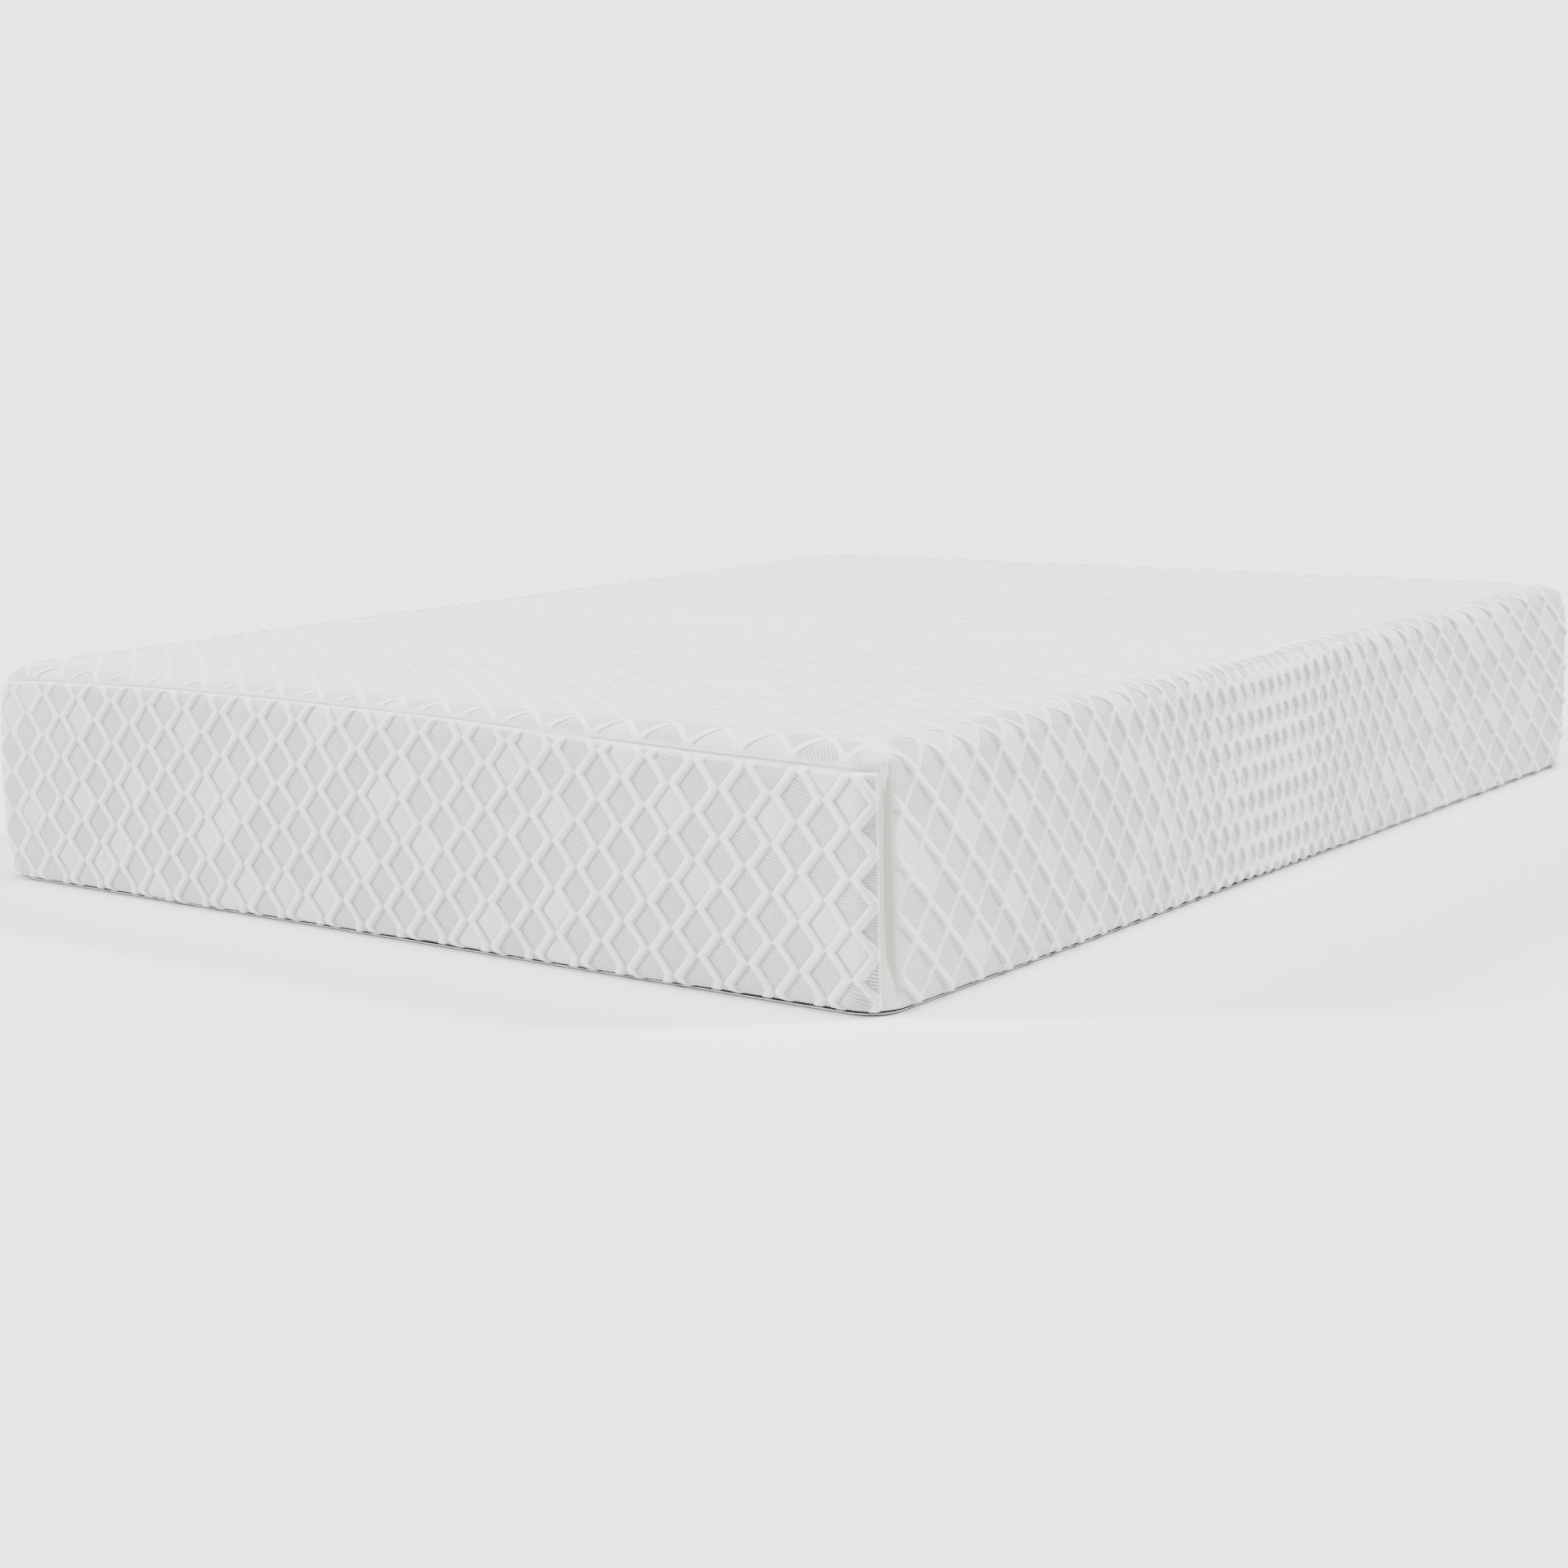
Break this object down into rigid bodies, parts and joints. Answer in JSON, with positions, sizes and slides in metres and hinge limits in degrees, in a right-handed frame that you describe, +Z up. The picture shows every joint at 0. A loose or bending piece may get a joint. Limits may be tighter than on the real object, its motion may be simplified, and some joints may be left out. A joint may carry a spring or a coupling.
{
  "type": "memory foam mattress",
  "caption": "Queen memory foam mattress: layered foam core in a fire barrier sock and a puffed diamond-knit waterfall cover closed by a zip.",
  "frame": {"origin": "centre of the resting face, on the floor plane", "axes": "+Z up; +Y along the length towards the head end, where the zip is; +X across the width"},
  "size_m": [1.524, 2.0325, 0.305],
  "materials": {
    "knit_white": "cool white double-jacquard knit, matt",
    "knit_end": "cool white double-jacquard knit, matt",
    "base_fabric": "plain non-slip fabric, matt",
    "seam_thread": "sewing thread",
    "sock_knit": "fine rib knit",
    "memory_foam": "slow-recovery foam",
    "transition_foam": "flexible foam",
    "support_foam": "firm flexible foam",
    "zip_tape": "woven polyester tape",
    "zip_coil": "nylon monofilament",
    "zip_metal": "satin nickel plate",
    "label_cloth": "blank woven label"
  },
  "bodies": {
    "mattress": {"top_side_panel": "knit_white", "foot_end_panel": "knit_end", "head_end_panel": "knit_end", "zip_placket_strip": "knit_end", "base_panel": "base_fabric", "foot_panel_seam": "seam_thread", "head_panel_seam": "seam_thread", "base_seam": "seam_thread", "fire_barrier_sock": "sock_knit", "comfort_foam": "memory_foam", "transition_foam": "transition_foam", "support_core": "support_foam", "zip_upper_tape": "zip_tape", "zip_lower_tape": "zip_tape", "zip_upper_coil": "zip_coil", "zip_lower_coil": "zip_coil", "zip_end_stops": "zip_metal", "sewn_labels": "label_cloth"},
    "slider": {"zip_slider": "zip_metal"},
    "pull_tab": {"zip_pull_tab": "zip_metal"}
  },
  "joints": [
    {"name": "zip_slide", "type": "slide", "parent": "mattress", "child": "slider", "axis": [1, 0, 0], "range_m": [0, 1.371]},
    {"name": "pull_tab_hinge", "type": "hinge", "parent": "slider", "child": "pull_tab", "pos_m": [-0.6855, 1.0126, 0.027], "axis": [0, 0, 1], "range_deg": [0, 160]}
  ]
}
